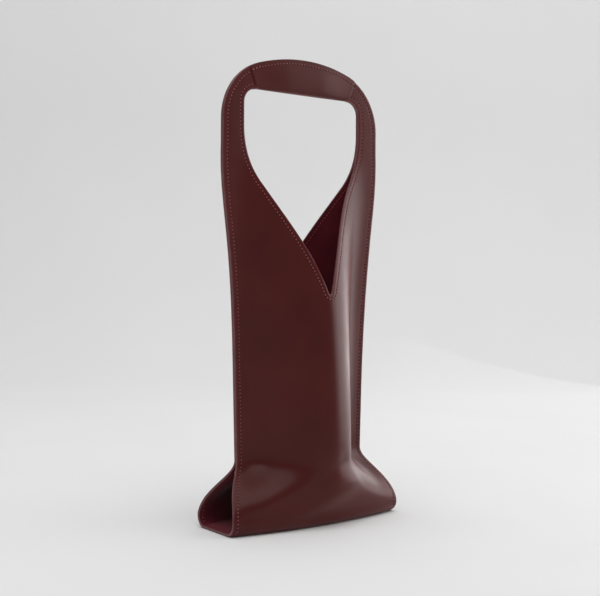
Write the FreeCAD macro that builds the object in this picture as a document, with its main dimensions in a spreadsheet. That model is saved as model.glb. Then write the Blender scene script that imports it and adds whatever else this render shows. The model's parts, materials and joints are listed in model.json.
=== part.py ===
import FreeCAD, Part
import Sketcher
import math
import os

# A soft carrier for one bottle: a leather strip runs down the front, under the base and up the
# back, its long edges are sewn together above the two side openings, and its ends form a handle.
# Frame: millimetres, +Z up, the front faces -Y, the origin lies under the middle of the base.

V = FreeCAD.Vector
doc = FreeCAD.newDocument("BottleCarrier")

# Driving dimensions: lengths in millimetres, angles in degrees
SIZES = (
    ("base_width", 179.0, "strip width under the bottle"),
    ("arms_width", 166.0, "strip width across the two handle arms"),
    ("base_depth", 55.5, "depth of the base at its open ends"),
    ("fold_radius", 10.0, "outer radius of the fold between base and wall"),
    ("side_opening_height", 57.0, "height of the side openings, where the side seams begin"),
    ("notch_rise", 140.0, "from the side opening's top to the tip of the neck notch"),
    ("flap_rise", 128.0, "from the notch's tip to where front and back lie flat together"),
    ("hinge_rise", 15.0, "from there to the line where the handle bends"),
    ("handle_rise", 60.0, "from that line to the top of the handle"),
    ("shoulder_rise", 4.0, "straight outer edge of the arm above the bending line"),
    ("crown_radius", 160.0, "radius of the handle's arched top"),
    ("arm_width", 20.5, "width of one handle arm"),
    ("grip_height", 27.2, "height of the handle's bar at the middle"),
    ("hand_hole_radius", 12.0, "radius of the hand hole's upper corners"),
    ("notch_tip_radius", 2.5, "radius of the notch's tip"),
    ("flank_angle", 58.6, "steepest turn of the wall beside the bottle"),
    ("base_flank_angle", 14.0, "turn of the wall along the base"),
    ("seam_margin", 6.0, "flat sewn margin along the side seams"),
    ("seam_bend", 25.0, "width in which the wall turns out of the margin"),
    ("leather_thickness", 1.4, "outer leather"),
    ("lining_thickness", 0.7, "lining"),
    ("layer_gap", 0.2, "glue line between two layers"),
    ("board_thickness", 1.0, "stiffening board in the base"),
    ("board_margin", 5.0, "from the edge of the flat base to the board"),
    ("grip_thickness", 13.0, "padded grip, front to back, at the middle"),
    ("grip_end_thickness", 11.0, "padded grip, front to back, at its ends"),
    ("grip_drop", 2.4, "from the bar's lower edge to the underside of the wrap"),
    ("bend_angle", 60.0, "how far the handle bends to the front or to the back"),
    ("hinge_gap", 0.6, "clearance across the bending line"),
    ("stitch_inset", 4.0, "from a leather edge to its row of stitches"),
    ("stitch_pitch", 3.6, "from one stitch to the next"),
    ("stitch_length", 2.7, "visible length of one stitch"),
    ("thread_radius", 0.35, "sewing thread"),
    ("thread_gap", 0.15, "from the leather to the thread that lies on it"),
    ("thread_clearance", 3.0, "from a row's end to a bend or to another piece"),
    ("overrun", 20.0, "how far a cut runs past the piece"),
)

# Shape of the wall, chosen by hand
FALL_POWER = 5.4
LAND_POWER = 1.5
SPREAD_POWER = 1.8
OPEN_POWER = 0.7
crest_share = 0.5
taper_share = 0.25
# Notch outline: width and height as shares of the hand hole's half width and of the notch's height
notch_mid_shares = (0.384, 0.364)
notch_turn_shares = (0.74, 0.643)
# Grip section: widest level, corner level and corner width as shares of its height and half width
grip_wide_share = 0.5
grip_corner_share = 0.12
grip_corner_width_share = 0.9
padding_low_share = 0.17
# Smallest fold angle that still carries stitches, as a share of the quarter turn
fold_stitch_share = 0.4

sheet = doc.addObject("Spreadsheet::Sheet", "Sizes")
for row, (alias, value, note) in enumerate(SIZES, start=1):
    sheet.set(f"A{row}", note)
    sheet.set(f"B{row}", str(value))
    sheet.setAlias(f"B{row}", alias)
doc.recompute()


def size(alias):
    return float(sheet.get(alias))


base_half = size("base_width") / 2
arms_half = size("arms_width") / 2
end_depth = size("base_depth") / 2
fold_radius = size("fold_radius")
opening_height = size("side_opening_height")
notch_height = opening_height + size("notch_rise")
flat_height = notch_height + size("flap_rise")
hinge_height = flat_height + size("hinge_rise")
top_height = hinge_height + size("handle_rise")
shoulder_height = hinge_height + size("shoulder_rise")
crown_radius = size("crown_radius")
crown_centre = top_height - crown_radius
hole_half = arms_half - size("arm_width")
hole_top = top_height - size("grip_height")
hole_radius = size("hand_hole_radius")
leather = size("leather_thickness")
lining = size("lining_thickness")
gap = size("layer_gap")
lining_depth = leather + gap
stack_half = leather + gap + lining + gap / 2
flank_angle = math.radians(size("flank_angle"))
base_flank_angle = math.radians(size("base_flank_angle"))
margin = size("seam_margin")
bend = size("seam_bend")
inset = size("stitch_inset")
overrun = size("overrun")
shoulder_radius = (crown_radius ** 2 - arms_half ** 2 - (shoulder_height - crown_centre) ** 2) / (
    2 * (crown_radius - arms_half))

ORIGIN = V(0, 0, 0)
ACROSS = V(1, 0, 0)
BACKWARD = V(0, 1, 0)
nodes = []


def keep(piece, label):
    piece.Label = label
    nodes.append(piece)
    return piece


def feature(name, shape):
    piece = doc.addObject("Part::Feature", name)
    piece.Shape = shape
    piece.Placement = FreeCAD.Placement()
    return piece


def cut(name, base, tool):
    piece = doc.addObject("Part::Cut", name)
    piece.Base = base
    piece.Tool = tool
    return piece


def mirrored(name, source):
    piece = doc.addObject("Part::Mirroring", name)
    piece.Source = source
    piece.Base = ORIGIN
    piece.Normal = BACKWARD
    return piece


# The wall: each level keeps the strip's own width, so it is bent and not stretched

HALF_STEPS = 200
section_cache = {}


def ease(share):
    share = min(max(share, 0.0), 1.0)
    return share * share * (3 - 2 * share)


def strip_half(level):
    share = (level - opening_height) / (flat_height - opening_height)
    return base_half + (arms_half - base_half) * min(max(share, 0.0), 1.0)


def wall_state(level):
    """Depth of the edge, steepest turn, and how firmly the edge is held flat by the seam."""
    if level >= opening_height:
        rise = min((level - opening_height) / (flat_height - opening_height), 1.0)
        turn = flank_angle * (1 - taper_share * rise) * (1 - rise ** FALL_POWER) ** LAND_POWER
        return stack_half, turn, 1.0
    fall = min((opening_height - level) / (opening_height - fold_radius), 1.0)
    spread = math.sin(math.pi / 2 * fall) ** SPREAD_POWER
    turn = base_flank_angle + (flank_angle - base_flank_angle) * (1 - spread) ** OPEN_POWER
    return stack_half + (end_depth - stack_half) * spread, turn, 1 - ease(fall)


def wall_section(level):
    """Half section from the crest to the edge: pairs of distance to the side and depth."""
    key = round(level, 6)
    if key not in section_cache:
        edge, turn, held = wall_state(level)
        half = strip_half(level)
        core = half - margin - bend
        slopes = []
        for i in range(HALF_STEPS + 1):
            along = half * i / HALF_STEPS
            share = along / core
            sewn = share * (1 + crest_share) / (share + crest_share)
            if share > 1:
                sewn = 1 - ease((along - core) / bend)
            free = i / HALF_STEPS
            slopes.append(turn * (held * sewn + (1 - held) * free))
        step = half / HALF_STEPS
        side = [0.0]
        fall = [0.0]
        for low, high in zip(slopes, slopes[1:]):
            slope = (low + high) / 2
            side.append(side[-1] + step * math.cos(slope))
            fall.append(fall[-1] + step * math.sin(slope))
        section_cache[key] = [(x, edge + fall[-1] - f) for x, f in zip(side, fall)]
    return section_cache[key]


def wall_xy(share, level):
    section = wall_section(level)
    place = min(abs(share), 1.0) * HALF_STEPS
    i = min(int(place), HALF_STEPS - 1)
    part = place - i
    x = section[i][0] * (1 - part) + section[i + 1][0] * part
    depth = section[i][1] * (1 - part) + section[i + 1][1] * part
    return math.copysign(x, share), depth


def strip_point(share, run):
    """Outer face of the front: run 0 to 1 is the fold, above that run counts fold radii of height."""
    if run >= 1:
        x, depth = wall_xy(share, run * fold_radius)
        return V(x, -depth, run * fold_radius)
    x, depth = wall_xy(share, fold_radius)
    turn = run * math.pi / 2
    return V(x, -(depth - fold_radius * (1 - math.sin(turn))), fold_radius * (1 - math.cos(turn)))


def strip_normal(share, run):
    """Unit vector out of the outer face."""
    delta_share = 0.01
    low = max(share - delta_share, -1.0)
    high = min(share + delta_share, 1.0)
    below = max(run - delta_share, 0.0)
    above = run + delta_share
    along = strip_point(high, run) - strip_point(low, run)
    up = strip_point(share, above) - strip_point(share, below)
    if run == 0:
        up = V(0, -1, 0)
    return along.cross(up).normalize()


def graded(low, high, count, power):
    """Levels from low to high, closer together at the low end where the power is above 1."""
    return [low + (high - low) * (i / count) ** power for i in range(1, count + 1)]


HALF_COLUMNS = 9
SEAM_GRADING = 1.8
column_shares = [math.sin(math.pi / 2 * i / HALF_COLUMNS) for i in range(-HALF_COLUMNS, HALF_COLUMNS + 1)]
row_runs = [0.0] + graded(0, 1, 3, 1) + graded(1, opening_height / fold_radius, 7, 1)
row_runs += graded(opening_height / fold_radius, notch_height / fold_radius, 8, SEAM_GRADING)
row_runs += graded(notch_height / fold_radius, flat_height / fold_radius, 9, 1)
row_runs += graded(flat_height / fold_radius, hinge_height / fold_radius, 2, 1)


def strip_face(depth):
    grid = []
    for share in column_shares:
        grid.append([strip_point(share, run) - strip_normal(share, run) * depth for run in row_runs])
    surface = Part.BSplineSurface()
    surface.interpolate(grid)
    return surface.toShape()


def wall_solid(outer_depth, inner_depth):
    outer = strip_face(outer_depth)
    inner = strip_face(inner_depth)
    rims = [Part.makeRuledSurface(a, b) for a, b in zip(outer.Edges, inner.Edges)]
    shell = Part.Shell([outer, inner] + rims)
    shell.sewShape()
    solid = Part.Solid(shell)
    if solid.Volume < 0:
        solid.reverse()
    return solid


# The neck notch and the bending line are cut through front and back alike

def notch_side():
    """Right edge of the notch, from its tip to the bending line."""
    tall = hinge_height - notch_height
    middle = V(hole_half * notch_mid_shares[0], 0, notch_height + tall * notch_mid_shares[1])
    turn = V(hole_half * notch_turn_shares[0], 0, notch_height + tall * notch_turn_shares[1])
    tip = size("notch_tip_radius")
    lean = math.atan2(middle.x, middle.z - notch_height)
    start = V(tip * math.cos(lean), 0, notch_height + tip * (1 - math.sin(lean)))
    end = V(hole_half, 0, hinge_height)
    width = end.x - turn.x
    height = end.z - turn.z
    radius = (width ** 2 + height ** 2) / (2 * width)
    half_turn = math.asin(height / radius) / 2
    halfway = V(end.x - radius * (1 - math.cos(half_turn)), 0, end.z - radius * math.sin(half_turn))
    return start, end, [Part.Arc(start, middle, turn).toShape(), Part.Arc(turn, halfway, end).toShape()]


def flip(point):
    return V(-point.x, point.y, point.z)


notch_start, notch_end, notch_edges = notch_side()
notch_top = notch_end + V(0, 0, overrun)
right_edges = notch_edges + [Part.makeLine(notch_end, notch_top)]
left_edges = [edge.mirror(ORIGIN, ACROSS) for edge in right_edges]
tip_arc = Part.Arc(flip(notch_start), V(0, 0, notch_height), notch_start).toShape()
ceiling = Part.makeLine(flip(notch_top), notch_top)
notch_wire = Part.Wire(Part.__sortEdges__(right_edges + left_edges + [tip_arc, ceiling]))
reach = base_half + overrun
notch_face = Part.Face(notch_wire)
notch_face.translate(V(0, -reach, 0))
notch = feature("notch", notch_face.extrude(V(0, 2 * reach, 0)))

bevel = math.tan(math.radians(size("bend_angle")) / 2)
clear = size("hinge_gap") / 2
groove_depth = stack_half + overrun
groove_low = clear + groove_depth * bevel
groove_points = [
    V(0, -groove_depth, hinge_height - groove_low), V(0, 0, hinge_height - clear),
    V(0, groove_depth, hinge_height - groove_low), V(0, groove_depth, hinge_height + groove_low),
    V(0, 0, hinge_height + clear), V(0, -groove_depth, hinge_height + groove_low)]
groove_face = Part.Face(Part.makePolygon(groove_points + groove_points[:1]))
groove_face.translate(V(-reach, 0, 0))
groove = feature("groove", groove_face.extrude(V(2 * reach, 0, 0)))
cutter = doc.addObject("Part::MultiFuse", "cutter")
cutter.Shapes = [notch, groove]

# Walls of the pocket: leather outside, lining inside

front_wall = feature("front_wall", wall_solid(0, leather))
front_panel = keep(cut("front_panel", front_wall, cutter), "front_panel")
keep(mirrored("back_panel", front_panel), "back_panel")
front_inner = feature("front_inner", wall_solid(lining_depth, lining_depth + lining))
front_lining = keep(cut("front_lining", front_inner, cutter), "front_lining")
keep(mirrored("back_lining", front_lining), "back_lining")


# Base: leather, stiffening board and lining, each a flat plate between two shallow arcs

def plane(body, role):
    return next(item for item in body.Origin.OriginFeatures if item.Role == role)


def new_sketch(body, role, lift):
    sketch = body.newObject("Sketcher::SketchObject", body.Name + "_outline")
    sketch.AttachmentSupport = [(plane(body, role), "")]
    sketch.MapMode = "FlatFace"
    sketch.setExpression("AttachmentOffset.Base.z", lift)
    return sketch


def bind(sketch, name, expression, *constraint):
    index = sketch.addConstraint(Sketcher.Constraint(*constraint))
    sketch.renameConstraint(index, name)
    sketch.setExpression("Constraints." + name, expression)


def pad(body, sketch, thickness):
    doc.recompute()
    solid = body.newObject("PartDesign::Pad", body.Name + "_pad")
    solid.Profile = sketch
    solid.setExpression("Length", thickness)
    doc.recompute()
    return body


bow_radius = base_half / base_flank_angle
BOW = "(Sizes.base_width * 90 / (pi * Sizes.base_flank_angle))"
TURN = "Sizes.base_flank_angle"
LEATHER_TOP = "(Sizes.leather_thickness + Sizes.layer_gap)"
BOARD_TOP = "(Sizes.leather_thickness + Sizes.board_thickness + 2 * Sizes.layer_gap)"


def base_plate(label, lift, thickness, inward, narrower):
    """Plate that stands inward from the folds and is narrower at the open ends, by named sizes."""
    body = doc.addObject("PartDesign::Body", label)
    sketch = new_sketch(body, "XY_Plane", lift)
    x = bow_radius * math.sin(base_flank_angle)
    less = "0"
    if narrower:
        x -= size(narrower)
        less = "Sizes." + narrower
    bulge = math.sqrt(bow_radius ** 2 - x ** 2) - bow_radius * math.cos(base_flank_angle)
    y = end_depth - fold_radius - size(inward) + bulge
    crest = y + bow_radius - math.sqrt(bow_radius ** 2 - x ** 2)
    corners = [V(-x, -y, 0), V(x, -y, 0), V(x, y, 0), V(-x, y, 0)]
    sketch.addGeometry(Part.Arc(corners[0], V(0, -crest, 0), corners[1]))
    sketch.addGeometry(Part.LineSegment(corners[1], corners[2]))
    sketch.addGeometry(Part.Arc(corners[2], V(0, crest, 0), corners[3]))
    sketch.addGeometry(Part.LineSegment(corners[3], corners[0]))
    for side in range(4):
        sketch.addConstraint(Sketcher.Constraint("Coincident", side, 2, (side + 1) % 4, 1))
    sketch.addConstraint(Sketcher.Constraint("Symmetric", 0, 1, 0, 2, -2))
    sketch.addConstraint(Sketcher.Constraint("Symmetric", 1, 1, 1, 2, -1))
    sketch.addConstraint(Sketcher.Constraint("Symmetric", 2, 1, 2, 2, -2))
    half = f"({BOW} * sin({TURN}) - {less})"
    rise = f"(sqrt({BOW} ^ 2 - {half} ^ 2) - {BOW} * cos({TURN}))"
    depth = f"2 * (Sizes.base_depth / 2 - Sizes.fold_radius - Sizes.{inward} + {rise})"
    bind(sketch, "width", f"2 * {half}", "DistanceX", 0, 1, 0, 2, 2 * x)
    bind(sketch, "depth", depth, "DistanceY", 1, 1, 1, 2, 2 * y)
    bind(sketch, "front_bow", BOW, "Radius", 0, bow_radius)
    bind(sketch, "back_bow", BOW, "Radius", 2, bow_radius)
    return keep(pad(body, sketch, thickness), label)


base_plate("base_panel", "0", "Sizes.leather_thickness", "layer_gap", "")
base_plate("base_board", LEATHER_TOP, "Sizes.board_thickness", "board_margin", "board_margin")
base_plate("base_lining", BOARD_TOP, "Sizes.lining_thickness", "layer_gap", "")


# Handle loops: the strip's upper ends, an arch round the hand hole, above the bending line

HINGE = "Sizes.side_opening_height + Sizes.notch_rise + Sizes.flap_rise + Sizes.hinge_rise"
TOP = HINGE + " + Sizes.handle_rise"
crown_turn = math.atan2(arms_half - shoulder_radius, shoulder_height - crown_centre)


def on_arc(x, level, radius, turn):
    """Point on an arc in the loop's own plane, its turn measured from straight up."""
    return V(x + radius * math.sin(turn), level + radius * math.cos(turn), 0)


def loop_plate(label, lift, thickness):
    body = doc.addObject("PartDesign::Body", label)
    sketch = new_sketch(body, "XZ_Plane", lift)
    foot_in = V(hole_half, hinge_height, 0)
    foot_out = V(arms_half, hinge_height, 0)
    shoulder = V(arms_half, shoulder_height, 0)
    crown_end = on_arc(0, crown_centre, crown_radius, crown_turn)
    quarter = math.pi / 2
    shoulder_mid = on_arc(arms_half - shoulder_radius, shoulder_height, shoulder_radius,
                          (quarter + crown_turn) / 2)
    corner_side = V(hole_half, hole_top - hole_radius, 0)
    corner_mid = on_arc(hole_half - hole_radius, hole_top - hole_radius, hole_radius, quarter / 2)
    corner_top = V(hole_half - hole_radius, hole_top, 0)
    outline = [
        Part.LineSegment(foot_in, foot_out),
        Part.LineSegment(foot_out, shoulder),
        Part.Arc(shoulder, shoulder_mid, crown_end),
        Part.Arc(crown_end, V(0, top_height, 0), flip(crown_end)),
        Part.Arc(flip(crown_end), flip(shoulder_mid), flip(shoulder)),
        Part.LineSegment(flip(shoulder), flip(foot_out)),
        Part.LineSegment(flip(foot_out), flip(foot_in)),
        Part.LineSegment(flip(foot_in), flip(corner_side)),
        Part.Arc(flip(corner_top), flip(corner_mid), flip(corner_side)),
        Part.LineSegment(flip(corner_top), corner_top),
        Part.Arc(corner_side, corner_mid, corner_top),
        Part.LineSegment(corner_side, foot_in)]
    for line in outline:
        sketch.addGeometry(line)
    for pair in ((0, 2, 1, 1), (5, 2, 6, 1), (6, 2, 7, 1), (11, 2, 0, 1)):
        sketch.addConstraint(Sketcher.Constraint("Coincident", *pair))
    tangents = ((1, 2, 2, 1), (2, 2, 3, 1), (3, 2, 4, 1), (4, 2, 5, 1),
                (7, 2, 8, 2), (8, 1, 9, 1), (9, 2, 10, 2), (10, 1, 11, 1))
    for pair in tangents:
        sketch.addConstraint(Sketcher.Constraint("Tangent", *pair))
    for line in (0, 9):
        sketch.addConstraint(Sketcher.Constraint("Horizontal", line))
    for line in (1, 5, 7, 11):
        sketch.addConstraint(Sketcher.Constraint("Vertical", line))
    sketch.addConstraint(Sketcher.Constraint("PointOnObject", 3, 3, -2))
    sketch.addConstraint(Sketcher.Constraint("Symmetric", 1, 1, 5, 2, -2))
    sketch.addConstraint(Sketcher.Constraint("Symmetric", 7, 1, 11, 2, -2))
    sketch.addConstraint(Sketcher.Constraint("Equal", 2, 4))
    sketch.addConstraint(Sketcher.Constraint("Equal", 8, 10))
    bind(sketch, "hinge", HINGE, "DistanceY", -1, 1, 0, 1, hinge_height)
    bind(sketch, "arms", "Sizes.arms_width", "DistanceX", 5, 2, 1, 1, 2 * arms_half)
    bind(sketch, "hole", "Sizes.arms_width - 2 * Sizes.arm_width", "DistanceX", 7, 1, 11, 2, 2 * hole_half)
    bind(sketch, "shoulder", HINGE + " + Sizes.shoulder_rise", "DistanceY", -1, 1, 1, 2, shoulder_height)
    bind(sketch, "crown", "Sizes.crown_radius", "Radius", 3, crown_radius)
    bind(sketch, "centre", TOP + " - Sizes.crown_radius", "DistanceY", -1, 1, 3, 3, crown_centre)
    bind(sketch, "corner", "Sizes.hand_hole_radius", "Radius", 10, hole_radius)
    bind(sketch, "ceiling", TOP + " - Sizes.grip_height", "DistanceY", -1, 1, 9, 2, hole_top)
    return pad(body, sketch, thickness)


LINING_LIFT = "Sizes.layer_gap / 2"
LEATHER_LIFT = "Sizes.layer_gap / 2 + Sizes.lining_thickness + Sizes.layer_gap"
for name, lift, thickness in (("loop", LEATHER_LIFT, "Sizes.leather_thickness"),
                              ("loop_lining", LINING_LIFT, "Sizes.lining_thickness")):
    plate = loop_plate(name + "_plate", lift, thickness)
    front = keep(cut("front_" + name, plate, groove), "front_" + name)
    keep(mirrored("back_" + name, front), "back_" + name)


# Grip: a leather wrap folded up round the bar, over a strip of padding on each side

grip_low = hole_top - size("grip_drop")
grip_turn = math.atan2(hole_half - hole_radius, grip_low - crown_centre)
bar_half = stack_half + gap
GRIP_STATIONS = 2
grip_shares = [i / GRIP_STATIONS for i in range(-GRIP_STATIONS, GRIP_STATIONS + 1)]


def grip_place(turn, y, radius):
    """Point at a turn round the crown's centre, a depth and a distance from that centre."""
    return V(radius * math.sin(turn), y, crown_centre + radius * math.cos(turn))


def grip_half(share, wall):
    end = size("grip_end_thickness") / 2
    middle = size("grip_thickness") / 2
    return end + (middle - end) * (1 - share ** 2) - wall


def wrap_points(share, wall, above):
    """Front half of the wrap's section: top edge, widest point, lower corner, underside."""
    turn = share * grip_turn
    low = (grip_low - crown_centre) / math.cos(turn) + wall
    high = crown_radius + above
    tall = crown_radius - low
    half = grip_half(share, wall)
    top = bar_half + leather - wall
    return turn, [(top, high), (half, low + tall * grip_wide_share),
                  (half * grip_corner_width_share, low + tall * grip_corner_share), (0.0, low)]


def wrap_section(share, wall, above):
    turn, (top, wide, corner, under) = wrap_points(share, wall, above)
    front = [grip_place(turn, -y, radius) for y, radius in (top, wide, corner)]
    back = [grip_place(turn, y, radius) for y, radius in (top, wide, corner)]
    edges = [Part.Arc(*front).toShape(),
             Part.Arc(front[2], grip_place(turn, *under), back[2]).toShape(),
             Part.Arc(back[2], back[1], back[0]).toShape(),
             Part.makeLine(back[0], front[0])]
    return Part.Wire(edges)


def wrap_loft(name, wall, above):
    return feature(name, Part.makeLoft([wrap_section(share, wall, above) for share in grip_shares], True))


wrap_outside = wrap_loft("wrap_outside", 0.0, 0.0)
wrap_inside = wrap_loft("wrap_inside", leather, inset)
keep(cut("grip_wrap", wrap_outside, wrap_inside), "grip_wrap")


def padding_section(share):
    turn, (top, wide, corner, under) = wrap_points(share, leather + gap, 0.0)
    low = under[1] + (crown_radius - under[1]) * padding_low_share
    high = crown_radius - 2 * inset
    ends = [grip_place(turn, -bar_half, high), grip_place(turn, -bar_half, low)]
    bulge = grip_place(turn, -wide[0], (low + high) / 2)
    return Part.Wire([Part.Arc(ends[0], bulge, ends[1]).toShape(), Part.makeLine(ends[1], ends[0])])


front_padding = keep(feature("grip_padding_front",
                             Part.makeLoft([padding_section(share) for share in grip_shares], True)),
                     "grip_padding_front")
keep(mirrored("grip_padding_back", front_padding), "grip_padding_back")


# Stitching: each row is a line of short threads that lie on the leather

pitch = size("stitch_pitch")
stitch = size("stitch_length")
thread = size("thread_radius")
thread_lift = thread + size("thread_gap")
row_clear = size("thread_clearance")
ROW_SAMPLES = 80


def place_on(path, travelled, distance):
    """Lifted point at a distance along a path of points and outward normals."""
    i = 0
    while i < len(path) - 2 and travelled[i + 1] < distance:
        i += 1
    share = (distance - travelled[i]) / (travelled[i + 1] - travelled[i])
    point = path[i][0] + (path[i + 1][0] - path[i][0]) * share
    normal = path[i][1] + (path[i + 1][1] - path[i][1]) * share
    return point + normal.normalize() * thread_lift


def thread_bar(begin, end):
    """One stitch: a six-sided bar from begin to end."""
    along = (end - begin).normalize()
    side = along.cross(V(0, 0, 1) if abs(along.z) < math.cos(math.pi / 6) else ACROSS).normalize()
    over = along.cross(side)
    turns = [math.pi / 3 * i for i in range(7)]
    ring = [begin + (side * math.cos(turn) + over * math.sin(turn)) * thread for turn in turns]
    return Part.Face(Part.makePolygon(ring)).extrude(end - begin)


def stitch_row(path):
    travelled = [0.0]
    for (a, _), (b, _) in zip(path, path[1:]):
        travelled.append(travelled[-1] + (b - a).Length)
    count = int(travelled[-1] / pitch)
    threads = []
    for i in range(count):
        begin = place_on(path, travelled, i * pitch)
        end = place_on(path, travelled, i * pitch + stitch)
        threads.append(thread_bar(begin, end))
    return threads


def both_faces(threads):
    return threads + [item.mirror(ORIGIN, BACKWARD) for item in threads]


def both_sides(threads):
    return threads + [item.mirror(ORIGIN, ACROSS) for item in threads]


def keep_row(label, threads):
    keep(feature(label, Part.makeCompound(threads)), label)


def even(low, high):
    return [low + (high - low) * i / ROW_SAMPLES for i in range(ROW_SAMPLES + 1)]


def on_strip(share, run):
    return strip_point(share, run), strip_normal(share, run)


def edge_share(level):
    half = strip_half(level)
    return (half - inset) / half


def edge_row(low_run, high_run):
    runs = even(low_run, high_run)
    return [on_strip(edge_share(max(run, 1) * fold_radius), run) for run in runs]


seam_low = opening_height / fold_radius
seam_high = (hinge_height - row_clear) / fold_radius
seam_row = both_faces(stitch_row(edge_row(seam_low, seam_high)))
hem_row = both_faces(stitch_row(edge_row(fold_stitch_share, seam_low - pitch / fold_radius)))
for side, turned in (("right", False), ("left", True)):
    for name, row in (("seam", seam_row), ("base_hem", hem_row)):
        threads = [item.mirror(ORIGIN, ACROSS) for item in row] if turned else row
        keep_row(f"{side}_{name}_thread", threads)


def share_at(x, level):
    """Share of the strip's half width at which the wall stands at a distance from the middle."""
    section = wall_section(level)
    i = 0
    while i < HALF_STEPS - 1 and section[i + 1][0] < x:
        i += 1
    part = (x - section[i][0]) / (section[i + 1][0] - section[i][0])
    return min(max((i + part) / HALF_STEPS, 0.0), 1.0)


def neck_path():
    """Row beside the notch: its right edge, moved into the leather and run down to the middle."""
    edge = notch_edges[0].discretize(ROW_SAMPLES) + notch_edges[1].discretize(ROW_SAMPLES)[1:]
    moved = []
    for a, b in zip(edge, edge[1:]):
        if b.z < hinge_height - row_clear:
            along = (b - a).normalize()
            shift = inset * math.cos(wall_state(b.z)[1])
            moved.append((b.x + along.z * shift, b.z - along.x * shift))
    (x, level), (x_next, level_next) = moved[0], moved[1]
    lean = (level_next - level) / (x_next - x)
    flat = [(0.0, level - x * lean)] + moved
    return [on_strip(share_at(x, level), level / fold_radius) for x, level in flat]


neck_row = both_sides(stitch_row(neck_path()))
keep_row("front_neck_thread", neck_row)
keep_row("back_neck_thread", [item.mirror(ORIGIN, BACKWARD) for item in neck_row])

wrap_clear_turn = grip_turn + row_clear / crown_radius
FORWARD = V(0, -1, 0)


def loop_row(points):
    """Row on the flat face of the loop, as far as the grip's wrap."""
    path = [(V(p.x, -stack_half, p.y), FORWARD) for p in points
            if math.atan2(p.x, p.y - crown_centre) > wrap_clear_turn]
    return both_faces(both_sides(stitch_row(path)))


row_start = hinge_height + row_clear
outer_points = [V(arms_half - inset, row_start, 0)]
outer_points += [on_arc(arms_half - shoulder_radius, shoulder_height, shoulder_radius - inset, turn)
                 for turn in even(math.pi / 2, crown_turn)]
outer_points += [on_arc(0, crown_centre, crown_radius - inset, turn) for turn in even(crown_turn, 0)]
keep_row("loop_outer_thread", loop_row(outer_points))
inner_points = [V(hole_half + inset, row_start, 0)]
inner_points += [on_arc(hole_half - hole_radius, hole_top - hole_radius, hole_radius + inset, turn)
                 for turn in even(math.pi / 2, 0)]
keep_row("loop_inner_thread", loop_row(inner_points))


def grip_path():
    """Row along the wrap's top edge, on its front face."""
    path = []
    end = 1 - row_clear / (crown_radius * grip_turn)
    for share in even(-end, end):
        turn, (top, wide, corner, under) = wrap_points(share, 0.0, 0.0)
        arc = Part.Arc(*[V(y, radius, 0) for y, radius in (top, wide, corner)]).toShape().Curve
        radius = crown_radius - inset
        reach_out = math.sqrt(arc.Radius ** 2 - (radius - arc.Center.y) ** 2)
        y = arc.Center.x + reach_out
        lean = math.asin((radius - arc.Center.y) / arc.Radius)
        normal = grip_place(turn, -math.cos(lean), math.sin(lean)) - grip_place(turn, 0, 0)
        path.append((grip_place(turn, -y, radius), normal))
    return path


keep_row("grip_thread", both_faces(stitch_row(grip_path())))

# Check every piece, then write it

doc.recompute()
for item in doc.Objects:
    if "Invalid" in item.State or "Error" in item.State:
        raise RuntimeError(f"{item.Label} failed: {item.State}")
for piece in nodes:
    if piece.Shape.isNull() or not piece.Shape.isValid():
        raise RuntimeError(f"{piece.Label} has no valid shape")
os.makedirs("parts", exist_ok=True)
for piece in nodes:
    piece.Shape.exportStep(f"parts/{piece.Label}.step")
    box = piece.Shape.BoundBox
    print(f"{piece.Label}: {len(piece.Shape.Solids)} solids, {piece.Shape.Volume:.1f} mm3, "
          f"x {box.XMin:.1f} to {box.XMax:.1f}, y {box.YMin:.1f} to {box.YMax:.1f}, "
          f"z {box.ZMin:.1f} to {box.ZMax:.1f}")
print(f"{len(nodes)} pieces, {top_height:.1f} mm tall")
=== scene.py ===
# %% [markdown]
# # A soft leather carrier
#
# The carrier is one long strip of soft leather. It runs down the front, across the base and up the
# back. Its long edges are sewn together above the two side openings, and its ends meet in a handle
# with a padded grip. The engineering model holds the plain solids and the line where the handle bends.
# This lesson gives it its looks: leather that sags, a lining, painted edges and stitches.

# %% Load the engineering model
import json
import math

import bmesh
import bpy
import numpy as np
from mathutils import Matrix, Vector


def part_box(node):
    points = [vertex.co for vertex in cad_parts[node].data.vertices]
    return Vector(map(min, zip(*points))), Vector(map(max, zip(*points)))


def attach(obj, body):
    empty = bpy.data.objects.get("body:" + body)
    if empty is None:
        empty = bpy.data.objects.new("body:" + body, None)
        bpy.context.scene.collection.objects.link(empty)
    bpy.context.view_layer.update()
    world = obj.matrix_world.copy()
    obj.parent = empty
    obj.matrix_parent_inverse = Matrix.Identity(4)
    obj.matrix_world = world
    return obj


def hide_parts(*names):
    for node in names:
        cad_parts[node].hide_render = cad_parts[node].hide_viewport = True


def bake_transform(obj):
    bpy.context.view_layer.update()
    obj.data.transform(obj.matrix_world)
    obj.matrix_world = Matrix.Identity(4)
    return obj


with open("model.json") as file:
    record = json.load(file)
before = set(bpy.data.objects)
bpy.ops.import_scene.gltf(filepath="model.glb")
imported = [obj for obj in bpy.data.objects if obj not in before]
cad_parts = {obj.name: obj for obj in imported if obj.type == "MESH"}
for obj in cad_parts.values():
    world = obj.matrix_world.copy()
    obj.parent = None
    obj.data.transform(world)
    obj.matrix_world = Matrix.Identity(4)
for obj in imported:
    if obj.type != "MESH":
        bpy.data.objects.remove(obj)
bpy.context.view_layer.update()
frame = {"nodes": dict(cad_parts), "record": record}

# %% [markdown]
# ## Sizes
#
# What the model shows directly is read from it: the bending line, the arms and the thickness of the
# stack of layers. The other measures are the pattern's own, and they are written once, in metres.

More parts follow.
